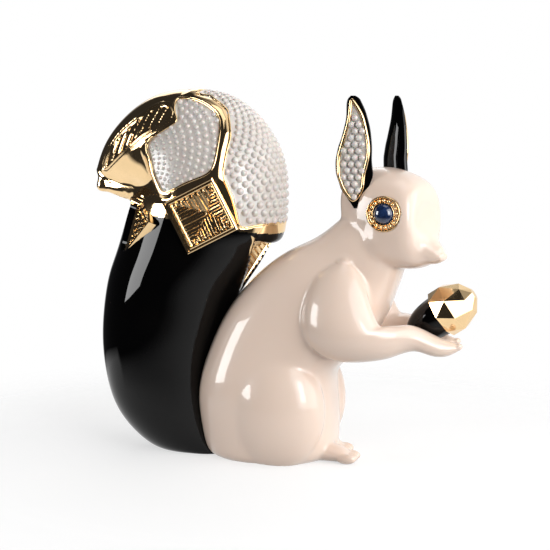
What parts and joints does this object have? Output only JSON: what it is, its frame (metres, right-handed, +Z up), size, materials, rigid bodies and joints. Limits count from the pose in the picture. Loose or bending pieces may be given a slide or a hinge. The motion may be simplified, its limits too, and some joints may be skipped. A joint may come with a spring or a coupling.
{
  "type": "squirrel figurine",
  "caption": "Seated squirrel figurine in glazed porcelain holding an acorn, its raised tail set with gilt plaques and beaded panels.",
  "frame": {"origin": "the point on the ground under the middle of the figurine's box", "axes": "+X is where the squirrel's body faces, +Y is its left side, +Z is up"},
  "size_m": [0.2986, 0.105, 0.2755],
  "materials": {
    "cream_glaze": "gloss",
    "black_glaze": "gloss",
    "gold_lustre": "polished",
    "pearl_glaze": "gloss",
    "blue_cabochon": "gloss"
  },
  "bodies": {
    "root": {"torso": "cream_glaze", "head": "cream_glaze", "foreleg_right": "cream_glaze", "foreleg_left": "cream_glaze", "hind_foot_right": "cream_glaze", "hind_foot_left": "cream_glaze", "ear_right": "black_glaze", "ear_left": "black_glaze", "ear_rim_right": "gold_lustre", "ear_rim_left": "gold_lustre", "ear_beads_right": "pearl_glaze", "ear_beads_left": "pearl_glaze", "eye_bezel_right": "gold_lustre", "eye_bezel_left": "gold_lustre", "eye_cabochon_right": "blue_cabochon", "eye_cabochon_left": "blue_cabochon", "acorn_nut": "black_glaze", "acorn_cap": "gold_lustre", "tail_stem": "black_glaze", "tail_crown": "gold_lustre", "bead_hood": "pearl_glaze", "bead_panel_right": "pearl_glaze", "bead_panel_left": "pearl_glaze", "fluted_panel_right": "gold_lustre", "fluted_panel_left": "gold_lustre", "plaque_right": "gold_lustre", "plaque_left": "gold_lustre", "plaque_front": "gold_lustre", "plaque_rear_right": "gold_lustre", "plaque_rear_left": "gold_lustre"}
  },
  "joints": []
}
